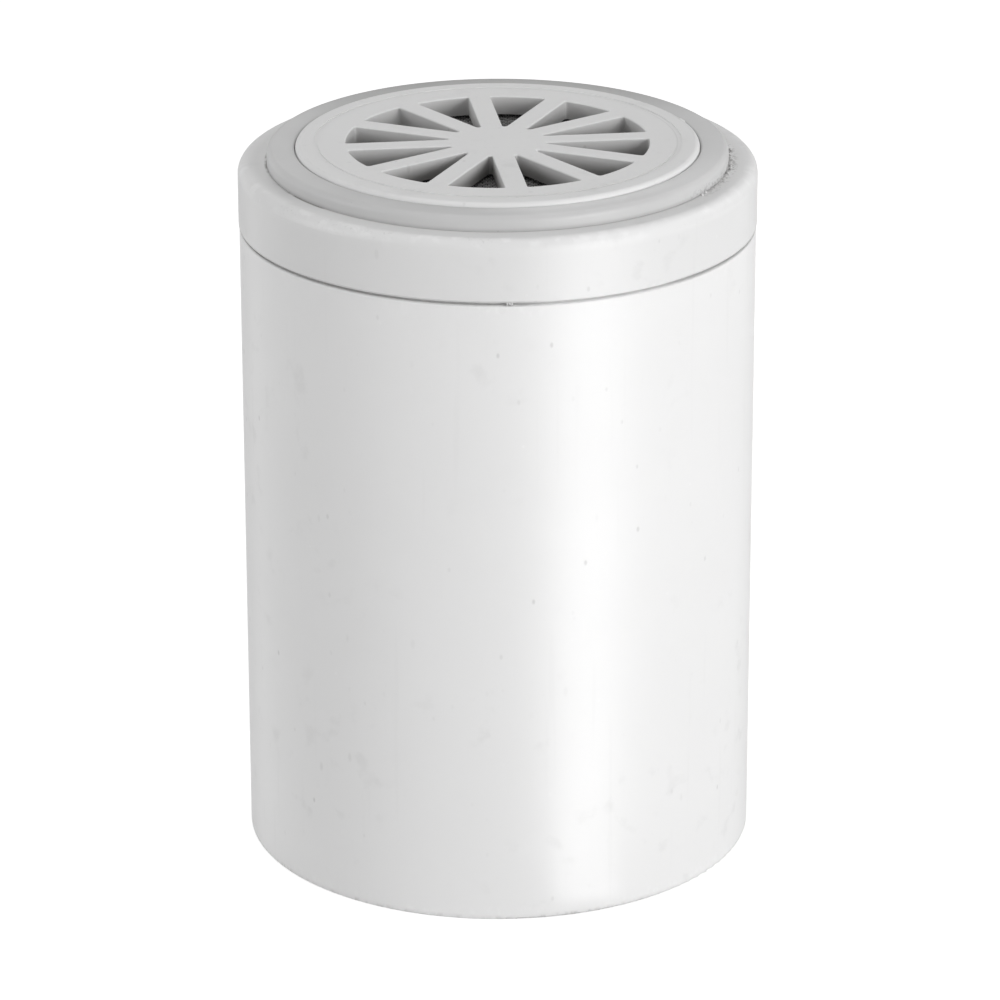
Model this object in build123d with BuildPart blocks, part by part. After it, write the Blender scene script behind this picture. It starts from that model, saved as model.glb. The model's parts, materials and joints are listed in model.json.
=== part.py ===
from build123d import *
import os
from math import cos, radians, sin, sqrt

# Replacement filter cartridge for a shower filter. Water goes in through the slotted
# disc on top, down through pads and beds of filter media, and out through a slotted base.
# All sizes are in millimetres. Z is up and the origin is the centre of the base.

os.makedirs("parts", exist_ok=True)

# ---- Overall sizes ----
cap_radius = 32.0           # outside of the cap
cap_overhang = 0.1          # the cap stands this far proud of the canister
body_height = 80.3          # base to the shoulder that the cap sits on
end_round = 0.3             # outer edge of the base
shoulder_round = 0.2        # outer edge of the canister's shoulder

# ---- Canister ----
neck_wall = 1.4
neck_height = 3.4           # the neck goes up inside the cap's skirt
neck_chamfer = 0.4          # lead-in at the neck's outer top edge
base_thickness = 2.4
foot_recess = 0.6           # the slotted floor stands this far above the foot ring
foot_width = 5.0

# ---- Cap ----
skirt_wall = 1.4
cap_fit = 0.10              # radial clearance, skirt over neck
seam_gap = 0.4              # shadow groove under the cap's outer edge
seam_depth = 0.7
skirt_chamfer = 0.3         # lead-in inside the skirt
seal_thickness = 1.4        # flat ring between the neck and the cap's plate
cap_plate = 1.8             # under the gasket groove
rim_width = 3.55            # from the gasket groove to the cap's outside
rim_depth = 1.4             # gasket groove, below the rim's top
rim_round = 1.3
boss_wall = 2.2             # round wall that carries the slotted disc

# ---- Slotted disc, and the same slots in the base ----
disc_thickness = 2.4
disc_rise = 0.45            # disc top above the gasket's top
disc_round = 0.7
slot_count = 12
spoke_width = 2.7
slot_margin = 6.2           # from the slots' outer ends to the disc's edge
slot_corner = 0.3
slot_edge = 0.2             # rounding of the slots' outside edges
first_spoke_angle = -83.0   # degrees from +X
ring_mark_inset = 2.5       # shallow moulded ring on the disc's face, in from its edge
ring_mark_width = 0.6
ring_mark_depth = 0.08

# ---- Inlet gasket ----
gasket_fit = 0.10           # radial clearance in its groove, each side
gasket_width = 3.35
gasket_height = 3.3
gasket_outer_round = 1.2
gasket_inner_round = 0.4
gasket_foot_round = 0.3

# ---- Screens: woven disc held in a channel ring ----
screen_fit = 0.05           # radial clearance of the ring in its seat
screen_ring_width = 1.3
screen_ring_height = 1.2
screen_mesh_thickness = 0.4
screen_mesh_gap = 0.05      # all round, between woven disc and channel
screen_grip = 0.8           # how far the woven disc goes into the channel

# ---- Pads, beds and dividers ----
filling_gap = 0.2           # radial gap from the fillings to the canister's wall
pad_cap_gap = 0.3           # inlet pad to the cap's plate
inlet_pad_height = 4.0
outlet_pad_height = 3.0
divider_height = 1.0
filling_round = 0.5         # rounded edges of pads and beds
divider_round = 0.3
sulfite_bed_height = 18.0
copper_zinc_bed_height = 10.0
ball_diameter = 7.0
ball_gap = 0.15             # between neighbouring balls, and above and below them
ball_layer_turn = 20.0      # degrees from one layer of balls to the next
ball_layers = ["tourmaline_balls", "mineral_balls", "alkaline_balls"]  # from the base up

# ---- Worked out from the sizes above ----
body_radius = cap_radius - cap_overhang
skirt_inner_radius = cap_radius - skirt_wall
neck_radius = skirt_inner_radius - cap_fit
inner_radius = neck_radius - neck_wall
neck_top = body_height + neck_height
floor_top = foot_recess + base_thickness
foot_inner_radius = body_radius - foot_width

plate_bottom = neck_top + seal_thickness
groove_floor = plate_bottom + cap_plate
rim_top = groove_floor + rim_depth
gasket_top = groove_floor + gasket_height
disc_top = gasket_top + disc_rise
disc_bottom = disc_top - disc_thickness
skirt_bottom = body_height + seam_gap
seam_inner_radius = body_radius - seam_depth

groove_outer_radius = cap_radius - rim_width
gasket_outer_radius = groove_outer_radius - gasket_fit
gasket_inner_radius = gasket_outer_radius - gasket_width
disc_radius = gasket_inner_radius - gasket_fit
pocket_radius = disc_radius - boss_wall
slot_radius = disc_radius - slot_margin
ring_mark_radius = disc_radius - ring_mark_inset

filling_radius = inner_radius - filling_gap
outlet_screen_top = floor_top + screen_ring_height
outlet_pad_top = outlet_screen_top + outlet_pad_height
inlet_pad_top = plate_bottom - pad_cap_gap
inlet_pad_bottom = inlet_pad_top - inlet_pad_height
ball_stage_height = ball_diameter + 2 * ball_gap

# The layers of balls lie above the outlet pad, each with a divider on it.
ball_stage_pitch = ball_stage_height + divider_height
carbon_bottom = outlet_pad_top + len(ball_layers) * ball_stage_pitch

# The sulfite and copper-zinc beds are a set height, and the carbon fills what is left.
sulfite_bottom = inlet_pad_bottom - sulfite_bed_height
copper_zinc_top = sulfite_bottom - divider_height
copper_zinc_bottom = copper_zinc_top - copper_zinc_bed_height
carbon_top = copper_zinc_bottom - divider_height


def off_axis(shape):
    """How far a shape's centre lies from the Z axis."""
    return Vector(shape.center().X, shape.center().Y).length


# ---- Slots: wedges between spokes of even width, the same in the disc and the base ----
half_pitch = radians(180 / slot_count)
first_slot_angle = first_spoke_angle + 180 / slot_count
slot_tip_radius = spoke_width / 2 / sin(half_pitch)
spoke_length = sqrt(slot_radius**2 - (spoke_width / 2) ** 2)
slot_corner_x = spoke_length * cos(half_pitch) + spoke_width / 2 * sin(half_pitch)
slot_corner_y = spoke_length * sin(half_pitch) - spoke_width / 2 * cos(half_pitch)

with BuildSketch() as slot:
    with BuildLine():
        Line((slot_tip_radius, 0), (slot_corner_x, -slot_corner_y))
        ThreePointArc(
            (slot_corner_x, -slot_corner_y),
            (slot_radius, 0),
            (slot_corner_x, slot_corner_y),
        )
        Line((slot_corner_x, slot_corner_y), (slot_tip_radius, 0))
    make_face()
    fillet(slot.vertices(), slot_corner)


# ---- Canister: a plain cup with a stepped neck and a slotted base ----
with BuildPart() as canister_body:
    with BuildSketch(Plane.XZ):
        with BuildLine():
            Polyline(
                (0, foot_recess),
                (foot_inner_radius, foot_recess),
                (foot_inner_radius, 0),
                (body_radius, 0),
                (body_radius, body_height),
                (neck_radius, body_height),
                (neck_radius, neck_top),
                (inner_radius, neck_top),
                (inner_radius, floor_top),
                (0, floor_top),
                close=True,
            )
        make_face()
    revolve(axis=Axis.Z)
    base_edges = canister_body.edges().filter_by_position(Axis.Z, 0, 0)
    fillet(base_edges.sort_by(SortBy.RADIUS)[-1], end_round)
    shoulder_edges = canister_body.edges().filter_by_position(Axis.Z, body_height, body_height)
    fillet(shoulder_edges.sort_by(SortBy.RADIUS)[-1], shoulder_round)
    neck_edges = canister_body.edges().filter_by_position(Axis.Z, neck_top, neck_top)
    chamfer(neck_edges.sort_by(SortBy.RADIUS)[-1], neck_chamfer)
    with BuildSketch(Plane.XY.offset(foot_recess)):
        with PolarLocations(0, slot_count, start_angle=first_slot_angle):
            add(slot.sketch)
    extrude(amount=base_thickness, mode=Mode.SUBTRACT)
    floor_edges = canister_body.edges().filter_by_position(Axis.Z, foot_recess, foot_recess)
    fillet(floor_edges.filter_by(lambda edge: off_axis(edge) > slot_corner), slot_edge)
canister_body.part.label = "canister_body"


# ---- Cap: skirt, rim, gasket groove and raised slotted disc in one moulding ----
with BuildPart() as end_cap:
    with BuildSketch(Plane.XZ):
        with BuildLine():
            Polyline(
                (0, disc_bottom),
                (pocket_radius, disc_bottom),
                (pocket_radius, plate_bottom),
                (skirt_inner_radius, plate_bottom),
                (skirt_inner_radius, body_height),
                (seam_inner_radius, body_height),
                (seam_inner_radius, skirt_bottom),
                (cap_radius, skirt_bottom),
                (cap_radius, rim_top),
                (groove_outer_radius, rim_top),
                (groove_outer_radius, groove_floor),
                (disc_radius, groove_floor),
                (disc_radius, disc_top),
                (0, disc_top),
                close=True,
            )
        make_face()
    revolve(axis=Axis.Z)
    skirt_edges = end_cap.edges().filter_by_position(Axis.Z, body_height, body_height)
    chamfer(skirt_edges.sort_by(SortBy.RADIUS)[0], skirt_chamfer)
    rim_edges = end_cap.edges().filter_by_position(Axis.Z, rim_top, rim_top)
    fillet(rim_edges.sort_by(SortBy.RADIUS)[-1], rim_round)
    disc_edges = end_cap.edges().filter_by_position(Axis.Z, disc_top, disc_top)
    fillet(disc_edges, disc_round)
    with BuildSketch(Plane.XY.offset(disc_top)):
        with PolarLocations(0, slot_count, start_angle=first_slot_angle):
            add(slot.sketch)
    extrude(amount=-disc_thickness, mode=Mode.SUBTRACT)
    slot_top_edges = end_cap.edges().filter_by_position(Axis.Z, disc_top, disc_top)
    fillet(slot_top_edges.filter_by(lambda edge: off_axis(edge) > slot_corner), slot_edge)
    with BuildSketch(Plane.XY.offset(disc_top)):
        Circle(ring_mark_radius + ring_mark_width / 2)
        Circle(ring_mark_radius - ring_mark_width / 2, mode=Mode.SUBTRACT)
    extrude(amount=-ring_mark_depth, mode=Mode.SUBTRACT)
end_cap.part.label = "end_cap"


# ---- Inlet gasket: soft ring in the groove between the rim and the disc ----
with BuildPart() as inlet_gasket:
    with BuildSketch(Plane.XY.offset(groove_floor)):
        Circle(gasket_outer_radius)
        Circle(gasket_inner_radius, mode=Mode.SUBTRACT)
    extrude(amount=gasket_height)
    top_edges = inlet_gasket.edges().filter_by_position(Axis.Z, gasket_top, gasket_top)
    fillet(top_edges.sort_by(SortBy.RADIUS)[-1], gasket_outer_round)
    fillet(top_edges.sort_by(SortBy.RADIUS)[0], gasket_inner_round)
    foot_edges = inlet_gasket.edges().filter_by_position(Axis.Z, groove_floor, groove_floor)
    fillet(foot_edges, gasket_foot_round)
inlet_gasket.part.label = "inlet_gasket"


# ---- Seal between the neck's top and the cap's plate ----
with BuildPart() as cap_seal_ring:
    with BuildSketch(Plane.XY.offset(neck_top)):
        Circle(neck_radius)
        Circle(inner_radius, mode=Mode.SUBTRACT)
    extrude(amount=seal_thickness)
cap_seal_ring.part.label = "cap_seal_ring"


def make_screen(name, seat_radius, bottom):
    """A woven steel disc and the channel ring round it, on a seat of this radius."""
    ring_radius = seat_radius - screen_fit
    mesh_radius = ring_radius - screen_ring_width + screen_grip
    mesh_bottom = bottom + (screen_ring_height - screen_mesh_thickness) / 2
    with BuildPart() as screen_mesh:
        with BuildSketch(Plane.XY.offset(mesh_bottom)):
            Circle(mesh_radius)
        extrude(amount=screen_mesh_thickness)
    screen_mesh.part.label = name + "_mesh"
    with BuildPart() as screen_ring:
        with BuildSketch(Plane.XY.offset(bottom)):
            Circle(ring_radius)
            Circle(ring_radius - screen_ring_width, mode=Mode.SUBTRACT)
        extrude(amount=screen_ring_height)
        with BuildSketch(Plane.XY.offset(mesh_bottom - screen_mesh_gap)):
            Circle(mesh_radius + screen_mesh_gap)
        extrude(amount=screen_mesh_thickness + 2 * screen_mesh_gap, mode=Mode.SUBTRACT)
    screen_ring.part.label = name + "_ring"
    return [screen_mesh.part, screen_ring.part]


def make_filling(name, bottom, height, edge_round):
    """A round pad, bed or divider that fills the canister from wall to wall."""
    with BuildPart() as filling:
        with BuildSketch(Plane.XY.offset(bottom)):
            Circle(filling_radius)
        extrude(amount=height)
        fillet(filling.edges().filter_by(GeomType.CIRCLE), edge_round)
    filling.part.label = name
    return filling.part


def ball_centres():
    """The places of one layer of balls, packed in a triangular pattern."""
    pitch = ball_diameter + ball_gap
    reach = inner_radius - ball_gap - ball_diameter / 2
    steps = int(2 * reach / pitch)
    places = []
    for row in range(-steps, steps + 1):
        for column in range(-steps, steps + 1):
            place = Vector(pitch * (column + row / 2), pitch * row * sqrt(3) / 2)
            if place.length <= reach:
                places.append(place)
    return places


def make_ball_layer(name, bottom, turn):
    """One layer of loose balls; each layer is turned, so they don't line up."""
    middle = bottom + ball_gap + ball_diameter / 2
    with BuildPart(Plane.XY.offset(middle).rotated((0, 0, turn))) as balls:
        with Locations(*ball_centres()):
            Sphere(ball_diameter / 2)
    balls.part.label = name
    return balls.part


# ---- Everything that the canister holds, from the base up ----
fillings = make_screen("outlet_screen", inner_radius, floor_top)
fillings.append(make_filling("outlet_pad", outlet_screen_top, outlet_pad_height, filling_round))

for stage, ball_layer in enumerate(ball_layers):
    stage_bottom = outlet_pad_top + stage * ball_stage_pitch
    stage_top = stage_bottom + ball_stage_height
    fillings.append(make_ball_layer(ball_layer, stage_bottom, stage * ball_layer_turn))
    divider_name = "stage_divider_" + str(stage + 1)
    fillings.append(make_filling(divider_name, stage_top, divider_height, divider_round))

carbon_height = carbon_top - carbon_bottom
fillings.append(make_filling("carbon_bed", carbon_bottom, carbon_height, filling_round))
fillings.append(make_filling("stage_divider_4", carbon_top, divider_height, divider_round))
fillings.append(
    make_filling("copper_zinc_bed", copper_zinc_bottom, copper_zinc_bed_height, filling_round)
)
fillings.append(make_filling("stage_divider_5", copper_zinc_top, divider_height, divider_round))
fillings.append(make_filling("sulfite_bed", sulfite_bottom, sulfite_bed_height, filling_round))
fillings.append(make_filling("inlet_pad", inlet_pad_bottom, inlet_pad_height, filling_round))

# The inlet screen is pressed up into the pocket under the cap's slotted disc.
fillings += make_screen("inlet_screen", pocket_radius, disc_bottom - screen_ring_height)

# ---- One file for each piece ----
shell_parts = [canister_body.part, end_cap.part, inlet_gasket.part, cap_seal_ring.part]
for piece in shell_parts + fillings:
    export_step(piece, "parts/" + piece.label + ".step")
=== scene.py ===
import json
import math
from contextlib import contextmanager

import bmesh
import bpy
import numpy as np
from mathutils import Matrix, Vector

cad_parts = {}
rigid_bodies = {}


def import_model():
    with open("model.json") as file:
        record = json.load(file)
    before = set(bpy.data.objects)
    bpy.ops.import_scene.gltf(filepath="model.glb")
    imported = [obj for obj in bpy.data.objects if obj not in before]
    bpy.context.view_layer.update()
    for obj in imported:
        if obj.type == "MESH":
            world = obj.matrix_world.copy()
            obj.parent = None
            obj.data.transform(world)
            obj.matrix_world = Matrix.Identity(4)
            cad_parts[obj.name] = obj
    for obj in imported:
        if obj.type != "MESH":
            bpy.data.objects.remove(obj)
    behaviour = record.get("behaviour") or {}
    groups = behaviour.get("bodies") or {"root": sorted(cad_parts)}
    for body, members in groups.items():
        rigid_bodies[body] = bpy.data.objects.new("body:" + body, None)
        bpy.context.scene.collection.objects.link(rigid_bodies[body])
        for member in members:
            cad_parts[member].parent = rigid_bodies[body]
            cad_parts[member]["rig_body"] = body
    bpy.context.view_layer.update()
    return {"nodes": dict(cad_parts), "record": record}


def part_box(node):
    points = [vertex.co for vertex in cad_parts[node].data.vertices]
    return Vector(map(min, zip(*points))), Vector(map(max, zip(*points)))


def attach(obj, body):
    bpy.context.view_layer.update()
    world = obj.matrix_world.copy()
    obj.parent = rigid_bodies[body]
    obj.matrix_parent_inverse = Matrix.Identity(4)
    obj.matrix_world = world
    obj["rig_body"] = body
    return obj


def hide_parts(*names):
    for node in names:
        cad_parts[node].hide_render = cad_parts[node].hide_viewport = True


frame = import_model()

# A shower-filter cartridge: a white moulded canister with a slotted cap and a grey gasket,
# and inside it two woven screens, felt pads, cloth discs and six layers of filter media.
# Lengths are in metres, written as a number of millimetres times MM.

MM = 0.001
nodes = frame["nodes"]

# Where the finishes change and the small marks sit: heights above the base, then radii, in millimetres.
SHOULDER = 80.3
SKIRT_EDGE = 80.7
RIM_TOP = 88.3
DISC_TOP = 90.65
WALL = 31.9
CAP_EDGE = 32.0
SEAM_DEPTH = 31.2
JOINT = 28.5
DISC_EDGE = 24.9
RING_MARK = 22.1
SLOT_ENDS = 18.7


# ---------------------------------------------------------------- material sums and nodes


class Value:
    """A number from a material's node, for writing in ordinary sums."""

    def __init__(self, finish, socket):
        self.finish = finish
        self.socket = socket

    def out(self, name):
        """Another output of the same node."""
        return Value(self.finish, self.socket.node.outputs[name])

    def sum(self, operation, *others):
        return self.finish.node("Math", {"operation": operation}, dict(enumerate((self, *others))))

    def __add__(self, other):
        return self.sum("ADD", other)

    def __sub__(self, other):
        return self.sum("SUBTRACT", other)

    def __rsub__(self, other):
        return (self * -1) + other

    def __mul__(self, other):
        return self.sum("MULTIPLY", other)

    def __pow__(self, other):
        return self.sum("POWER", other)

    def __abs__(self):
        return self.sum("ABSOLUTE")

    __radd__ = __add__
    __rmul__ = __mul__


class Finish:
    """One material, or the world, built from nodes that measure in millimetres."""

    def __init__(self, name, owner=None):
        self.material = owner or bpy.data.materials.new(name)
        self.material.use_nodes = True
        self.tree = self.material.node_tree
        self.tree.nodes.clear()

    def node(self, kind, settings=None, sockets=None, output=0):
        """Adds a node: its settings first, then the value or link of each socket."""
        made = self.tree.nodes.new("ShaderNode" + kind)
        for name, value in (settings or {}).items():
            setattr(made, name, value)
        for name, value in (sockets or {}).items():
            if isinstance(value, Value):
                self.tree.links.new(value.socket, made.inputs[name])
            else:
                made.inputs[name].default_value = value
        return Value(self, made.outputs[output]) if made.outputs else made

    def place(self, stretch=(1, 1, 1)):
        """The point on the piece in millimetres, squeezed or stretched along each axis."""
        here = self.node("TexCoord", output="Object")
        scale = [s / MM for s in stretch]
        return self.node("Mapping", {}, {"Vector": here, "Scale": scale})

    def xyz(self):
        parts = self.node("SeparateXYZ", {}, {0: self.place()})
        return parts, parts.out("Y"), parts.out("Z")

    def noise(self, size, detail=2.0, rough=0.5, stretch=(1, 1, 1), twist=0.0):
        """Soft random patches about this many millimetres across, from 0 to 1."""
        sockets = {"Vector": self.place(stretch), "Scale": 1 / size, "Detail": detail, "Roughness": rough}
        return self.node("TexNoise", {}, {**sockets, "Distortion": twist})

    def cells(self, size, stretch=(1, 1, 1)):
        """Distance to the nearest of many scattered points, in cells this many millimetres across."""
        return self.node("TexVoronoi", {}, {"Vector": self.place(stretch), "Scale": 1 / size})

    def step(self, value, low, high):
        """0 below low and 1 above high, or the other way round where low is the larger."""
        flip = low > high
        sockets = {"Value": value, "From Min": min(low, high), "From Max": max(low, high)}
        rise = self.node("MapRange", {"interpolation_type": "SMOOTHSTEP"}, sockets)
        return 1 - rise if flip else rise

    def mix(self, factor, a, b):
        """Colour a where the factor is 0, and b where it is 1."""
        sockets = {0: factor, 6: a, 7: b}
        return self.node("Mix", {"data_type": "RGBA"}, sockets, output=2)

    def bump(self, height):
        """A normal from a height in millimetres."""
        return self.node("Bump", {}, {"Height": height, "Distance": MM, "Strength": 1.0})

    def surface(self, colour, roughness, height=None, **constants):
        """Ends the material with a surface of this colour, roughness and relief."""
        sockets = {"Base Color": colour, "Roughness": roughness}
        if height is not None:
            sockets["Normal"] = self.bump(height)
        for name, value in constants.items():
            sockets[name.replace("_", " ").title().replace("Ior", "IOR")] = value
        shader = self.node("BsdfPrincipled", {}, sockets)
        self.node("OutputMaterial", {}, {"Surface": shader})
        return self.material


def grey(level, warmth=0.0):
    """An opaque grey, a little warmer or cooler than neutral."""
    return (level * (1 + warmth), level, level * (1 - warmth), 1.0)


# ---------------------------------------------------------------- finishes


def specks(f, size, radius, share, tall=1.0):
    """Small dust spots, mostly faint and a few strong, in this share of the cells, stretched upwards."""
    cell = f.cells(size, stretch=(1, 1, 1 / tall))
    random = f.node("SeparateColor", {}, {0: cell.out("Color")})
    strength = f.step(random, share, 0) ** 3 * 0.85 + f.step(random, share, share - 0.02) * 0.15
    return f.step(cell, radius / size, radius / size * 0.35) * strength


def glancing(f):
    """Rises to 1 at a glancing angle, where a fine moulded texture loses its gloss."""
    facing = f.node("LayerWeight", {}, {"Blend": 0.5}, output="Facing")
    return f.step(facing, 0.66, 0.9)


def moulded_plastic(name, level, soil_and_painted_light):
    """Satin white moulded plastic with faint flow marks, dust, drag lines and, in places, dirt, painted
    shade and painted highlights.
    """
    f = Finish(name)
    flow = f.noise(14, detail=4)
    drag = f.step(f.noise(1.1, detail=1, stretch=(1, 1, 0.05)), 0.64, 0.78)
    dust = specks(f, 2.1, 0.3, 0.45, tall=1.6)
    lint = specks(f, 3.7, 0.4, 0.5, tall=2.2)
    pale = specks(f, 2.9, 0.3, 0.5)
    smudge = f.step(f.noise(3.2, detail=5), 0.56, 0.74) * f.step(f.noise(17), 0.45, 0.6)
    # The darkening given here is dirt with painted shade, and the paling is wear with, on the cap,
    # painted highlights.
    soil_and_shade, wear_and_highlight = soil_and_painted_light(f)
    dark = dust * 0.24 + lint * 0.12 + drag * 0.02 + smudge * 0.07 + flow * 0.05 + soil_and_shade
    marked = f.mix(dark, grey(level, 0.001), grey(level * 0.28, 0.03))
    colour = f.mix(wear_and_highlight + pale * 0.35, marked, grey(min(level * 1.16, 0.93)))
    roughness = 0.36 + flow * 0.08 + smudge * 0.1 + drag * 0.06 + wear_and_highlight * 0.15 + glancing(f) * 0.45
    relief = f.noise(0.45, detail=2) * 0.0025 + f.noise(7, detail=2) * 0.03 - drag * 0.0015 + dust * 0.02
    return f.surface(colour, roughness, relief, ior=1.5)


def seam_dirt_and_shade(f, x, radius, near):
    """Darkens the seam and its lips in patches, but not at the front right where the light falls: dirt
    with painted shade in the gap; near is 1 at the seam's height.
    """
    sides = f.step(x, 6, 2) + f.step(x, 18, 24) * 0.7
    outside = f.step(radius, SEAM_DEPTH - 0.2, SEAM_DEPTH)
    return near * outside * sides * (f.noise(0.9, detail=3) * 0.2 + 0.14)


def canister_soil_and_shade(f):
    """Dirt round the base's edge, dirt with painted shade in the seam, and pale wear patches on the
    canister's edges.
    """
    x, y, z = f.xyz()
    radius = (x * x + y * y) ** 0.5
    fine = f.step(f.noise(0.7, detail=4, stretch=(1, 1, 0.5)), 0.46, 0.64)
    patch = f.step(f.noise(9, detail=2), 0.45, 0.6)
    under = f.step(z, SHOULDER - 2.2, SHOULDER - 0.4) * f.step(z, SHOULDER - 0.05, SHOULDER - 0.4)
    base = f.step(z, 0.8, 0.1) * f.step(radius, WALL - 0.9, WALL - 0.2)
    wear_and_highlight = (under * 0.35 + f.step(z, 2.2, 0.6) * 0.4) * fine * patch
    # Painted shade in the seam, with some dirt.
    seam = seam_dirt_and_shade(f, x, radius, f.step(z, SHOULDER - 0.22, SHOULDER - 0.1))
    return base * (fine * 0.35 + 0.1) + seam, wear_and_highlight


def cap_soil_shade_and_highlight(f):
    """Dirt in the gasket's joint and scuffs on the shoulder, dirt with painted shade in the seam, painted
    shade in the slots, on the rim beside the joint and at the ring mark, and pale wear on the shoulder
    with painted highlights there and on the disc's lip.
    """
    x, y, z = f.xyz()
    radius = (x * x + y * y) ** 0.5
    fine = f.noise(0.5, detail=4, rough=0.6)
    patch = f.noise(5, detail=2)
    rim = f.step(z, RIM_TOP - 1.7, RIM_TOP - 0.9) * f.step(z, RIM_TOP + 1.0, RIM_TOP + 0.6)
    right = f.step(x, 24.0, 27.5)
    left = f.step(x, -16.0, -22.0) * f.step(y, 9.0, 2.0)
    uneven = 0.45 + left * f.step(patch, 0.44, 0.52) * 1.2
    thin = f.step(abs(radius - JOINT), 0.3, 0.02) * rim * uneven
    crust = f.step(abs(radius - (JOINT + 0.4)), 0.9, 0.1) * f.step(fine, 0.5, 0.58) * rim * right
    # Painted shade: the rim top beside the joint is darker on the left and right.
    valley_shade = f.step(abs(radius - (JOINT + 0.7)), 1.4, 0.3) * rim * f.step(abs(x), 21, 27)
    shoulder = f.step(abs(radius - (CAP_EDGE - 0.8)), 1.0, 0.3) * f.step(z, RIM_TOP - 2.1, RIM_TOP - 1.1)
    rubbed = shoulder * f.step(fine, 0.57, 0.66) * f.step(patch, 0.5, 0.6)
    # Painted shade in the slots: darker with depth down their walls, more in the front slots and less in
    # the back ones.
    slot_shade = 0.5 - f.step(y, 4, 14) * 0.26 + f.step(y, -2, -9) * 0.16
    near_top = f.step(z, DISC_TOP - 0.03, DISC_TOP - 0.25) * 0.2
    lower = f.step(z, DISC_TOP - 0.15, DISC_TOP - 2.25) * slot_shade
    slots = f.step(radius, SLOT_ENDS + 0.6, SLOT_ENDS + 0.2) * (near_top + lower)
    face = f.step(z, DISC_TOP - 0.35, DISC_TOP - 0.15)
    # Painted shade: a darker line at the ring mark on the right half of the disc.
    line = f.step(abs(radius - RING_MARK), 0.16, 0.05) * face * f.step(x, -8, 2)
    # Painted highlight: the front right, where the key lamp falls, is paler on the shoulder and the
    # disc's lip.
    highlit_front_right = f.step(x, 2, 12) * f.step(y, 2, -12)
    edge = f.step(radius, DISC_EDGE - 0.8, DISC_EDGE - 0.4) * f.step(z, DISC_TOP - 0.85, DISC_TOP - 0.45)
    # Painted highlight along the disc's rounded lip all round, stronger at the front right.
    lip = edge * (highlit_front_right * 0.35 + 0.25)
    # The shoulder's patchy paleness is wear; its even paleness and the front right's extra paleness are
    # painted highlight.
    wear_and_highlight = shoulder * (f.step(f.noise(2.2, detail=3), 0.5, 0.66) * 0.4 + 0.15 + highlit_front_right * 0.6) + lip
    # Painted shade in the seam, with some dirt.
    seam = seam_dirt_and_shade(f, x, radius, f.step(z, SKIRT_EDGE + 0.22, SKIRT_EDGE + 0.1))
    soil_and_shade = thin * 0.5 + crust * 0.55 + valley_shade * 0.1 + rubbed * 0.16 + line * 0.14 + slots + seam
    return soil_and_shade, wear_and_highlight


def gasket_rubber(name, level, top):
    """Matt grey moulded silicone: bloom, lint and a soiled band at the rim, painted highlights on the
    front right, the sides and beside the disc at the front, and painted shade on the far side and in the
    crease by the disc.
    """
    f = Finish(name)
    x, y, z = f.xyz()
    radius = (x * x + y * y) ** 0.5
    bloom = f.noise(6, detail=4)
    grain = f.noise(0.35, detail=3)
    lint = specks(f, 2.2, 0.14, 0.3)
    joint = f.step(z, top - 1.35, top - 1.9)
    crust = f.step(z, top - 0.5, top - 1.6) * f.step(grain, 0.5, 0.6) * f.step(x, 21.0, 27.0)
    # Painted shade: darker in the crease next to the disc.
    inner = f.step(radius, DISC_EDGE + 0.4, DISC_EDGE + 0.15)
    # Painted light: paler at the front right, on the left and right, and beside the disc at the front,
    # where the light falls.
    front_right_highlight = f.step(x, -3, 8) * f.step(y, 3, -14) * f.step(radius, JOINT - 0.2, JOINT - 0.7)
    sides = f.step(abs(x), 17, 26)
    # Painted shade: darker on the far side.
    far_side_shade = f.step(y, 9, 25)
    soil_and_shade = joint * 0.25 + crust * 0.4 + inner * 0.15 + far_side_shade * 0.4
    by_disc = f.step(radius, DISC_EDGE + 2.5, DISC_EDGE + 0.7) * f.step(x, -8, 4) * f.step(y, -12, -20)
    painted_light_tone = f.mix(front_right_highlight * 0.5 + sides * 0.23 + by_disc * 0.5, grey(level), grey(level * 1.36))
    colour = f.mix(bloom * 0.1 + lint * 0.22 + soil_and_shade, painted_light_tone, grey(level * 0.35, 0.02))
    relief = grain * 0.006 + f.noise(4) * 0.03 + lint * 0.02
    roughness = 0.36 + bloom * 0.12 + grain * 0.06 + glancing(f) * 0.45
    return f.surface(colour, roughness, relief, ior=1.45)


def seal_rubber(name):
    """Plain pale silicone sheet, die cut, with a fine sawn look on its edges."""
    f = Finish(name)
    bloom = f.noise(5, detail=3)
    lines = f.noise(0.3, detail=1, stretch=(0.15, 0.15, 1))
    colour = f.mix(bloom * 0.14 + lines * 0.06, grey(0.78, 0.01), grey(0.5, 0.02))
    return f.surface(colour, 0.52 + bloom * 0.15, f.noise(0.25) * 0.006 + lines * 0.01, ior=1.41)


def drawn_steel(name, level, run, dull=0.0):
    """Stainless steel with fine drawing lines along the given stretch and a slight tarnish."""
    f = Finish(name)
    lines = f.noise(0.12, detail=2, stretch=run)
    tarnish = f.noise(4, detail=3)
    colour = f.mix(tarnish * 0.5 + lines * 0.2, grey(level, 0.004), grey(level * 0.6, 0.02))
    return f.surface(colour, 0.26 + dull + lines * 0.16 + tarnish * 0.12, lines * 0.004, metallic=1.0)


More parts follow.
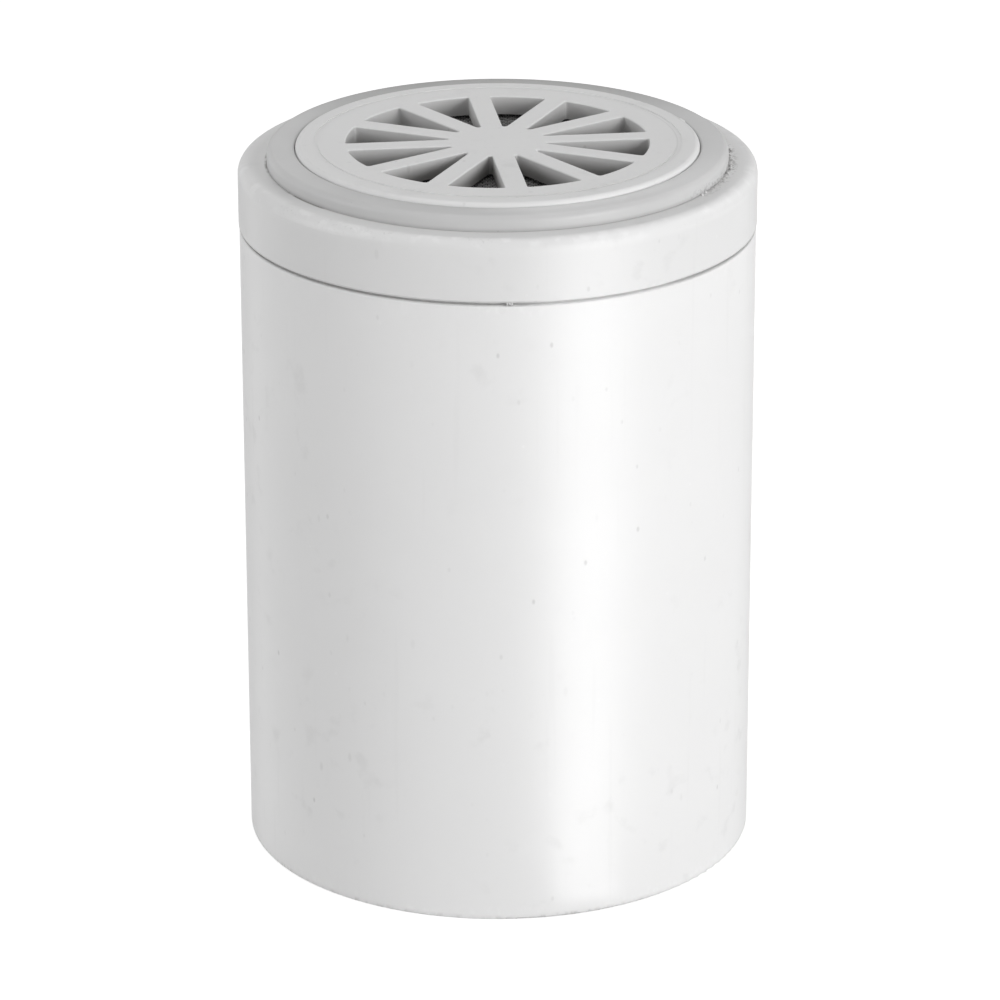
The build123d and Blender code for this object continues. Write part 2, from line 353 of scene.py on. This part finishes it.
def needled_felt(name, level, soiled):
    """Needled polyester felt: tangled fibres, needle pits and a faint stain."""
    f = Finish(name)
    strands = 0
    for stretch in ((1, 0.22, 1), (0.22, 1, 1), (0.6, 0.6, 0.6)):
        wave = f.noise(0.6, detail=3, rough=0.6, stretch=stretch, twist=1.5)
        strands = f.step(abs(wave - 0.5), 0.045, 0.0) + strands
    pits = f.step(f.cells(0.9), 0.2, 0.05)
    stain = f.step(f.noise(9, detail=4), 0.4, 0.75)
    dark = (1 - strands * 0.6) * 0.3 + pits * 0.15 + stain * soiled
    colour = f.mix(dark, grey(level, 0.01), grey(level * 0.6, 0.05))
    return f.surface(colour, 0.94, strands * 0.05 - pits * 0.05, sheen_weight=0.25, sheen_roughness=0.5)


def media(name, light, dark, size, roughness, relief=0.02, metallic=0.0):
    """Loose filter media: two tones mottled at the size of one grain, with a dusty grain surface."""
    f = Finish(name)
    tone = f.noise(size, detail=2)
    powder = f.noise(size * 0.16, detail=3, rough=0.7)
    colour = f.mix(f.step(tone * 0.7 + powder * 0.3, 0.36, 0.64), light, dark)
    return f.surface(colour, roughness + powder * 0.2, powder * relief, metallic=metallic)


def fired_ceramic(name, light, dark, speck):
    """A rolled and fired ceramic ball: a chalky skin with mineral specks and small pits."""
    f = Finish(name)
    tone = f.noise(3.2, detail=4)
    pits = f.step(f.cells(0.55), 0.26, 0.1)
    mineral = f.step(f.cells(0.8, stretch=(1, 1, 1.2)), 0.2, 0.12) * f.step(tone, 0.45, 0.6)
    body = f.mix(tone, light, dark)
    colour = f.mix(mineral * 0.8, body, speck)
    relief = f.noise(0.4, detail=3) * 0.03 - pits * 0.03
    return f.surface(colour, 0.62 + tone * 0.2, relief)


FINISHES = {
    "canister_plastic": moulded_plastic("canister_plastic", 0.86, canister_soil_and_shade),
    "cap_plastic": moulded_plastic("cap_plastic", 0.785, cap_soil_shade_and_highlight),
    "gasket_silicone": gasket_rubber("gasket_silicone", 0.61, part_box("inlet_gasket")[1].z / MM),
    "seal_silicone": seal_rubber("seal_silicone"),
    # The woven steel is a dark grey, so that the screen under the grille reads as dark as the shade
    # there: painted shade in part.
    "woven_steel": drawn_steel("woven_steel", 0.24, (1, 1, 1), dull=0.3),
    "rolled_steel": drawn_steel("rolled_steel", 0.62, (0.1, 0.1, 1)),
    "pad_felt": needled_felt("pad_felt", 0.88, 0.05),
    "divider_cloth": needled_felt("divider_cloth", 0.82, 0.12),
    "sulfite_beads": media("sulfite_beads", grey(0.88, 0.03), grey(0.74, 0.07), 2.4, 0.62),
    "copper_zinc_granules": media(
        "copper_zinc_granules", (0.7, 0.5, 0.22, 1), (0.45, 0.27, 0.11, 1), 1.0, 0.4, 0.03, 0.9
    ),
    "carbon_granules": media("carbon_granules", grey(0.05), grey(0.016), 1.6, 0.5, 0.05),
    "alkaline_ceramic": fired_ceramic(
        "alkaline_ceramic", (0.83, 0.79, 0.71, 1), (0.72, 0.67, 0.58, 1), grey(0.4, 0.1)
    ),
    "mineral_ceramic": fired_ceramic(
        "mineral_ceramic", (0.56, 0.31, 0.2, 1), (0.4, 0.19, 0.11, 1), (0.16, 0.07, 0.04, 1)
    ),
    "tourmaline_ceramic": fired_ceramic(
        "tourmaline_ceramic", (0.25, 0.24, 0.23, 1), (0.13, 0.125, 0.12, 1), grey(0.5)
    ),
}


# ---------------------------------------------------------------- modelling by hand


def only(piece):
    """Leaves just this piece selected and active."""
    bpy.ops.object.select_all(action="DESELECT")
    piece.select_set(True)
    bpy.context.view_layer.objects.active = piece


def begun(name):
    """Names the primitive that was just added."""
    piece = bpy.context.object
    piece.name = name
    piece.data.name = name
    return piece


@contextmanager
def editing(piece, kind="FACE"):
    """Edit mode on one piece, with nothing selected to begin with."""
    only(piece)
    bpy.ops.object.mode_set(mode="EDIT")
    bpy.ops.mesh.select_mode(type=kind)
    bpy.ops.mesh.select_all(action="DESELECT")
    yield bmesh.from_edit_mesh(piece.data)
    bpy.ops.object.mode_set(mode="OBJECT")


def choose(mesh, parts, test):
    """Selects the faces, edges or corners that pass the test, and no others."""
    bpy.ops.mesh.select_all(action="DESELECT")
    for part in parts:
        part.select_set(bool(test(part)))
    mesh.select_flush_mode()


def modify(piece, kind, **settings):
    """Adds a modifier and applies it."""
    only(piece)
    modifier = piece.modifiers.new(kind.title(), kind)
    for name, value in settings.items():
        setattr(modifier, name, value)
    bpy.ops.object.modifier_apply(modifier=modifier.name)


def settle(piece):
    """Puts the piece's place, turn and size into its mesh."""
    only(piece)
    bpy.ops.object.transform_apply(location=True, rotation=True, scale=True)


def smooth(piece, angle=40):
    only(piece)
    bpy.ops.object.shade_smooth_by_angle(angle=math.radians(angle))


def close_up(piece):
    """Merges doubles and turns every face outwards."""
    with editing(piece):
        bpy.ops.mesh.select_all(action="SELECT")
        bpy.ops.mesh.remove_doubles(threshold=0.01 * MM)
        bpy.ops.mesh.normals_make_consistent(inside=False)


def ripple(piece, size, height):
    """Moves the surface in and out by a little, in patches of this size."""
    texture = bpy.data.textures.new(piece.name + "_ripple", "CLOUDS")
    texture.noise_scale = size
    modify(piece, "DISPLACE", texture=texture, strength=height, mid_level=0.5, texture_coords="LOCAL")


def finished(piece, body, slot, *stands_for):
    """Gives a made piece its finish, its body and the nodes that it stands for."""
    settle(piece)
    piece.data.materials.clear()
    piece.data.materials.append(FINISHES[slot])
    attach(piece, body)
    if stands_for:
        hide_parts(*stands_for)
    return piece


def body_of(node):
    return nodes[node]["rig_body"]


def span(node):
    """A round node's radius, lowest height and thickness."""
    low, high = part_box(node)
    return (high.x - low.x) / 2, low.z, high.z - low.z


# ---------------------------------------------------------------- felt, cloth and screens


def blow_up(piece, voxel, most, pressure=4.0, frames=20):
    """Plumps a closed pad by a cloth simulation at ten times its size, capping each point's move."""
    times = 10
    piece.data.remesh_voxel_size = voxel
    only(piece)
    bpy.ops.object.voxel_remesh()
    piece.data.transform(Matrix.Scale(times, 4))
    before = np.array([v.co for v in piece.data.vertices])
    cloth = piece.modifiers.new("Cloth", "CLOTH")
    cloth.settings.use_pressure = True
    cloth.settings.uniform_pressure_force = pressure
    cloth.settings.effector_weights.gravity = 0
    cloth.point_cache.frame_end = frames
    for moment in range(1, frames + 1):
        bpy.context.scene.frame_set(moment)
    bpy.ops.object.modifier_apply(modifier=cloth.name)
    bpy.context.scene.frame_set(1)
    moved = np.array([v.co for v in piece.data.vertices]) - before
    length = np.linalg.norm(moved, axis=1, keepdims=True)
    capped = before + moved * np.minimum(1, most * times / np.maximum(length, 1e-9))
    piece.data.vertices.foreach_set("co", capped.ravel())
    piece.data.transform(Matrix.Scale(1 / times, 4))
    piece.data.update()


def felt_pad(node, swell):
    """A thick needled pad: cut round, softened at its edge, plumped, and left a little uneven."""
    radius, low, thick = span(node)
    middle = (0, 0, low + thick / 2)
    bpy.ops.mesh.primitive_cylinder_add(
        vertices=96, radius=radius, depth=thick - 2 * swell, location=middle
    )
    pad = begun(node + "_felt")
    settle(pad)
    with editing(pad) as mesh:
        choose(mesh, mesh.edges, lambda e: len({round(v.co.z, 6) for v in e.verts}) == 1)
        bpy.ops.mesh.bevel(offset=thick * 0.22, segments=3, profile=0.6)
    blow_up(pad, 1.1 * MM, swell)
    modify(pad, "SUBSURF", levels=1, render_levels=1)
    ripple(pad, 3.5 * MM, 0.25 * MM)
    smooth(pad, 180)
    finished(pad, body_of(node), "pad_felt", node)


def cloth_disc(node, seed):
    """A disc of thin non-woven cloth laid on the layer below, slightly wavy and frayed at its rim."""
    radius, low, thick = span(node)
    rings, sides = 24, 120
    bpy.ops.mesh.primitive_circle_add(vertices=sides, radius=radius, fill_type="NGON", location=(0, 0, 0))
    disc = begun(node + "_cloth")
    with editing(disc) as mesh:
        choose(mesh, mesh.faces, lambda face: True)
        for _ in range(rings):
            bpy.ops.mesh.inset(thickness=radius / (rings + 1))
        bpy.ops.mesh.poke()
    spread = np.random.default_rng(seed)
    waves = spread.uniform(-1, 1, (5, 4))
    for v in disc.data.vertices:
        x, y = v.co.x / radius, v.co.y / radius
        lift = sum(a * math.sin(3.1 * b * x + 2.7 * c * y + 3 * d) for a, b, c, d in waves)
        v.co.z = lift * 0.035 * MM
        v.co.x *= 1 - 0.004 * (1 + math.sin(23 * math.atan2(y, x) + seed))
        v.co.y *= 1 - 0.004 * (1 + math.sin(19 * math.atan2(y, x) + seed))
    modify(disc, "SOLIDIFY", thickness=thick * 0.8, offset=0)
    modify(disc, "BEVEL", width=thick * 0.25, segments=2, limit_method="ANGLE")
    modify(disc, "SUBSURF", levels=1, render_levels=1)
    disc.location.z = low + thick / 2
    settle(disc)
    ripple(disc, 1.6 * MM, 0.08 * MM)
    smooth(disc, 180)
    finished(disc, body_of(node), "divider_cloth", node)


def woven_screen(node, pitch, wire):
    """Plain-woven wire cloth: each wire goes over and under the ones that cross it."""
    radius, low, thick = span(node)
    middle = low + thick / 2
    weave = bpy.data.curves.new(node + "_wires", "CURVE")
    weave.dimensions = "3D"
    weave.bevel_depth = wire / 2
    weave.bevel_resolution = 0
    weave.use_fill_caps = True
    count = int((radius - wire) / pitch)
    for across in range(-count, count + 1):
        offset = across * pitch
        crossings = int(math.sqrt((radius - wire) ** 2 - offset**2) / pitch)
        if crossings < 2:
            continue
        steps = range(-2 * crossings, 2 * crossings + 1)
        for turned in (0, 1):
            wave = weave.splines.new("POLY")
            wave.points.add(len(steps) - 1)
            for point, step in zip(wave.points, steps):
                along = step * pitch / 2
                rise = math.sin(math.pi * (step / 2 + across + turned + 0.5)) * (wire / 2)
                flat = (offset, along) if turned else (along, offset)
                point.co = (*flat, middle + (rise if turned else -rise), 1)
            wave.use_smooth = True
    screen = bpy.data.objects.new(node + "_weave", weave)
    bpy.context.scene.collection.objects.link(screen)
    only(screen)
    bpy.ops.object.convert(target="MESH")
    smooth(screen, 80)
    finished(screen, body_of(node), "woven_steel", node)


# ---------------------------------------------------------------- filter media


def grain(name, radius, faces, roundness, seed):
    """One bead or granule at the origin, to be copied all over a bed."""
    bpy.ops.mesh.primitive_ico_sphere_add(subdivisions=faces, radius=radius, location=(0, 0, 0))
    piece = begun(name)
    if roundness < 1:
        with editing(piece, "VERT"):
            bpy.ops.mesh.select_all(action="SELECT")
            bpy.ops.transform.vertex_random(offset=radius * (1 - roundness), seed=seed)
    else:
        smooth(piece, 180)
    return piece


def scatter(core, copied, spacing, smallest, seed):
    """Covers the core with copies of one grain, turned and sized at random but the same each time."""
    tree = bpy.data.node_groups.new(core.name + "_scatter", "GeometryNodeTree")
    for side in ("INPUT", "OUTPUT"):
        tree.interface.new_socket("Geometry", in_out=side, socket_type="NodeSocketGeometry")

    def add(kind, settings, **sockets):
        made = tree.nodes.new(kind)
        for name, value in settings.items():
            setattr(made, name, value)
        for name, value in sockets.items():
            socket = made.inputs[name.replace("_", " ")]
            if isinstance(value, bpy.types.NodeSocket):
                tree.links.new(value, socket)
            else:
                socket.default_value = value
        return made

    source = add("NodeGroupInput", {}).outputs[0]
    points = add(
        "GeometryNodeDistributePointsOnFaces",
        {"distribute_method": "POISSON"},
        Mesh=source,
        Distance_Min=spacing,
        Density_Max=4 / spacing**2,
        Seed=seed,
    )
    turn = add("FunctionNodeRandomValue", {"data_type": "FLOAT_VECTOR"}, Max=(math.tau,) * 3, Seed=seed)
    size = add(
        "FunctionNodeRandomValue",
        {"data_type": "FLOAT_VECTOR"},
        Min=(smallest,) * 3,
        Max=(1, 1, 1),
        Seed=seed + 1,
    )
    one = add("GeometryNodeObjectInfo", {}, Object=copied)
    copies = add(
        "GeometryNodeInstanceOnPoints",
        {},
        Points=points.outputs["Points"],
        Instance=one.outputs["Geometry"],
        Rotation=turn.outputs[0],
        Scale=size.outputs[0],
    )
    real = add("GeometryNodeRealizeInstances", {}, Geometry=copies.outputs[0])
    both = add("GeometryNodeJoinGeometry", {}, Geometry=source)
    tree.links.new(real.outputs[0], both.inputs[0])
    end = tree.nodes.new("NodeGroupOutput")
    tree.links.new(both.outputs[0], end.inputs[0])
    modify(core, "NODES", node_group=tree)


def bed(node, slot, size, faces, roundness, spacing, smallest, seed):
    """A packed bed of loose media: a hidden core whose whole surface is covered with grains."""
    radius, low, thick = span(node)
    half = size / 2
    copied = grain(node + "_grain", half, faces, roundness, seed)
    bpy.ops.mesh.primitive_cylinder_add(
        vertices=96,
        radius=radius - half * 1.04,
        depth=thick - 2 * half * 1.04,
        location=(0, 0, low + thick / 2),
    )
    core = begun(node + "_media")
    settle(core)
    with editing(core) as mesh:
        choose(mesh, mesh.edges, lambda e: len({round(v.co.z, 6) for v in e.verts}) == 1)
        bpy.ops.mesh.bevel(offset=half * 0.6, segments=2)
    scatter(core, copied, spacing, smallest, seed)
    bpy.data.objects.remove(copied)
    finished(core, body_of(node), slot, node)


# ---------------------------------------------------------------- gasket and moulding marks


def ring_gasket(node, spread=0.07 * MM, width=3.45 * MM):
    """The inlet gasket as a moulded ring, a little wider than its CAD solid, to fill its groove.

    Its section has rounded corners, and is spun round the axis.
    """
    low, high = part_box(node)
    outer, bottom, top = (high.x - low.x) / 2 + spread, low.z, high.z
    height = top - bottom
    middle = (outer - width / 2, 0, (top + bottom) / 2)
    bpy.ops.mesh.primitive_plane_add(size=1, location=middle, rotation=(math.pi / 2, 0, 0))
    ring = begun(node + "_ring")
    ring.scale = (width, height, 1)
    settle(ring)
    inner = outer - width
    corners = [
        (outer, top, 0.8 * MM),
        (inner, top, 0.25 * MM),
        (outer, bottom, 0.18 * MM),
        (inner, bottom, 0.18 * MM),
    ]
    for x, z, size in corners:
        with editing(ring, "VERT") as mesh:
            choose(mesh, mesh.verts, lambda v: (v.co - Vector((x, 0, z))).length < 0.01 * MM)
            bpy.ops.mesh.bevel(offset=size, segments=6, affect="VERTICES")
    with editing(ring, "EDGE"):
        bpy.ops.mesh.select_all(action="SELECT")
        bpy.ops.mesh.delete(type="ONLY_FACE")
        bpy.ops.mesh.select_all(action="SELECT")
        bpy.ops.mesh.spin(steps=240, angle=math.tau, center=(0, 0, 0), axis=(0, 0, 1))
    close_up(ring)
    smooth(ring, 50)
    return finished(ring, body_of(node), "gasket_silicone", node)


def marks():
    """Small leftovers: crust in the gasket's joint, a fleck across the seam and a burr on the lip."""
    random = np.random.default_rng(11)
    crust = []
    for _ in range(34):
        turn = random.normal(88, 15)
        out = JOINT - 0.05 + 0.5 * random.random()
        crust.append(round_about(turn, out * MM, (RIM_TOP + 0.02) * MM))
    crumbs("joint_crust", "cap", "cap_plastic", crust, 0.6 * MM, seed=2)
    on_seam = (CAP_EDGE - 0.05) * MM, (SHOULDER + 0.25) * MM
    fleck = [round_about(turn, *on_seam) for turn in (2.0, 2.5, 2.9)]
    crumbs("seam_fleck", "cap", "cap_plastic", fleck, 0.55 * MM, seed=3)
    on_lip = (DISC_EDGE - 0.2) * MM, (DISC_TOP - 0.3) * MM
    burr = [round_about(turn, *on_lip) for turn in (110, 111, 112.5)]
    crumbs("lip_burr", "cap", "cap_plastic", burr, 0.7 * MM, seed=4)


def crumbs(name, body, slot, places, size, seed):
    """Small uneven crumbs of one material, stuck on at these places, as one piece."""
    random = np.random.default_rng(seed)
    first = grain(name + "_first", size / 2, 1, 0.6, seed)
    copies = []
    for place in places:
        copy = first.copy()
        copy.data = first.data.copy()
        copy.location = place
        copy.rotation_euler = random.uniform(0, math.tau, 3)
        copy.scale = random.uniform(0.35, 1.0, 3)
        bpy.context.scene.collection.objects.link(copy)
        copies.append(copy)
    bpy.data.objects.remove(first)
    bpy.ops.object.select_all(action="DESELECT")
    for copy in copies:
        copy.select_set(True)
    bpy.context.view_layer.objects.active = copies[0]
    bpy.ops.object.join()
    return finished(begun(name), body, slot)


# ---------------------------------------------------------------- the pieces


def dress_cad_nodes():
    """The moulded, rolled and fired pieces keep their own shape and get their finish."""
    for part in frame["record"]["subparts"]:
        mesh = nodes[part["node"]].data
        mesh.materials.clear()
        mesh.materials.append(FINISHES[part["material_slot"]])


def make_soft_pieces():
    felt_pad("inlet_pad", swell=0.35 * MM)
    felt_pad("outlet_pad", swell=0.3 * MM)
    balls = ["tourmaline_balls", "mineral_balls", "alkaline_balls"]
    beds = ["carbon_bed_media", "copper_zinc_bed_media"]
    for number, layer in enumerate(balls + beds, start=1):
        cloth_disc(f"stage_divider_{number}", seed=number)


def make_media():
    beads = {"size": 2.6 * MM, "faces": 2, "roundness": 1, "spacing": 1.7 * MM, "smallest": 0.86}
    metal = {"size": 1.5 * MM, "faces": 1, "roundness": 0.55, "spacing": 0.8 * MM, "smallest": 0.45}
    carbon = {"size": 2.4 * MM, "faces": 1, "roundness": 0.5, "spacing": 1.2 * MM, "smallest": 0.5}
    bed("sulfite_bed", "sulfite_beads", seed=3, **beads)
    bed("copper_zinc_bed", "copper_zinc_granules", seed=5, **metal)
    bed("carbon_bed", "carbon_granules", seed=7, **carbon)


def make_screens():
    woven_screen("inlet_screen_mesh", pitch=0.62 * MM, wire=0.2 * MM)
    woven_screen("outlet_screen_mesh", pitch=1.0 * MM, wire=0.2 * MM)


# ---------------------------------------------------------------- studio


def round_about(azimuth, distance, height):
    """A point this far out, turned from the front (-Y) towards +X."""
    turn = math.radians(azimuth)
    return Vector((math.sin(turn) * distance, -math.cos(turn) * distance, height))


def softbox(name, azimuth, distance, height, watts, aim=0.045, size=0.5):
    """A soft square lamp that faces this height on the object's axis."""
    lamp = bpy.data.lights.new(name, "AREA")
    lamp.shape = "RECTANGLE"
    lamp.size = lamp.size_y = size
    lamp.energy = watts
    holder = bpy.data.objects.new(name, lamp)
    bpy.context.scene.collection.objects.link(holder)
    holder.location = round_about(azimuth, distance, height)
    towards = Vector((0, 0, aim)) - holder.location
    holder.rotation_euler = towards.to_track_quat("-Z", "Y").to_euler()
    holder.visible_camera = False
    return holder


def seen_directly(f):
    """1 for what the camera sees itself, in gloss or through glass, and 0 for light on a surface."""
    path = f.node("LightPath", output="Is Camera Ray")
    return (path + path.out("Is Glossy Ray") + path.out("Is Transmission Ray")).sum("MINIMUM", 1.0)


def lay_floor():
    """A pale floor that reads white where it is lit and keeps the object's shadow."""
    bpy.ops.mesh.primitive_plane_add(size=8, location=(0, 0, -0.02 * MM))
    floor = begun("studio_floor")
    settle(floor)
    f = Finish("floor_paper")
    lit = f.node("BsdfDiffuse", {}, {"Color": grey(0.75)})
    pale = f.node("BsdfDiffuse", {}, {"Color": grey(0.4)})
    glow = f.node("Emission", {}, {"Color": grey(1.0), "Strength": 0.82})
    white = f.node("AddShader", {}, {0: pale, 1: glow})
    shown = f.node("MixShader", {}, {0: seen_directly(f), 1: lit, 2: white})
    f.node("OutputMaterial", {}, {"Surface": shown})
    floor.data.materials.append(f.material)


def light_world(level):
    """Even light from all round, and white where it is seen."""
    world = bpy.data.worlds.new("studio")
    bpy.context.scene.world = world
    f = Finish("studio", world)
    strength = seen_directly(f) * (1 - level) + level
    sky = f.node("Background", {}, {"Color": grey(1.0), "Strength": strength})
    f.node("OutputWorld", {}, {"Surface": sky})


def sheen_card(azimuth, spread, near, far, strength):
    """A wedge of light on the floor, seen only as a soft sheen down the side of the cartridge.

    Each side of it starts at the wall's foot, this far round to either side of the azimuth, and
    points twice as far round, where that part of the wall mirrors the floor. So the sheen is as
    wide and as strong at the bottom as at the top.
    """
    bpy.ops.mesh.primitive_plane_add(size=2, location=(0, 0, 0))
    card = begun("sheen_card")
    for v in card.data.vertices:
        side = azimuth + spread * v.co.y
        foot = round_about(side, span("canister_body")[0], 0.3 * MM)
        v.co = foot + round_about(2 * side, far if v.co.x > 0 else near, 0)
    f = Finish("card_light")
    glow = f.node("Emission", {}, {"Color": grey(1.0), "Strength": strength})
    f.node("OutputMaterial", {}, {"Surface": glow})
    card.data.materials.append(f.material)
    card.visible_camera = False
    card.visible_diffuse = False
    card.visible_shadow = False
    card.visible_transmission = False


def set_camera():
    """A long lens a little above the cartridge, looking down at its slotted cap."""
    lens = bpy.data.cameras.new("camera")
    lens.lens = 191.17
    lens.sensor_width = 36.0
    lens.clip_start = 0.05
    camera = bpy.data.objects.new("camera", lens)
    bpy.context.scene.collection.objects.link(camera)
    camera.location = (0, -0.624, 0.2869)
    camera.rotation_euler = (math.radians(68.669), math.radians(0.101), math.radians(-0.059))
    bpy.context.scene.camera = camera


# ---------------------------------------------------------------- scene

dress_cad_nodes()
make_media()
make_soft_pieces()
make_screens()
ring_gasket("inlet_gasket")
marks()
lay_floor()
light_world(0.32)
softbox("key", azimuth=45, distance=1.0, height=0.3, watts=6.5)
softbox("fill", azimuth=-80, distance=1.0, height=0.35, watts=2.8)
softbox("top", azimuth=-150, distance=0.3, height=1.1, watts=1.85, aim=0.08)
softbox("back", azimuth=180, distance=1.0, height=0.1, watts=2.0).visible_glossy = False
sheen_card(azimuth=20, spread=7.5, near=4 * MM, far=0.6, strength=4.6)
set_camera()
bpy.context.scene.view_settings.view_transform = "Standard"
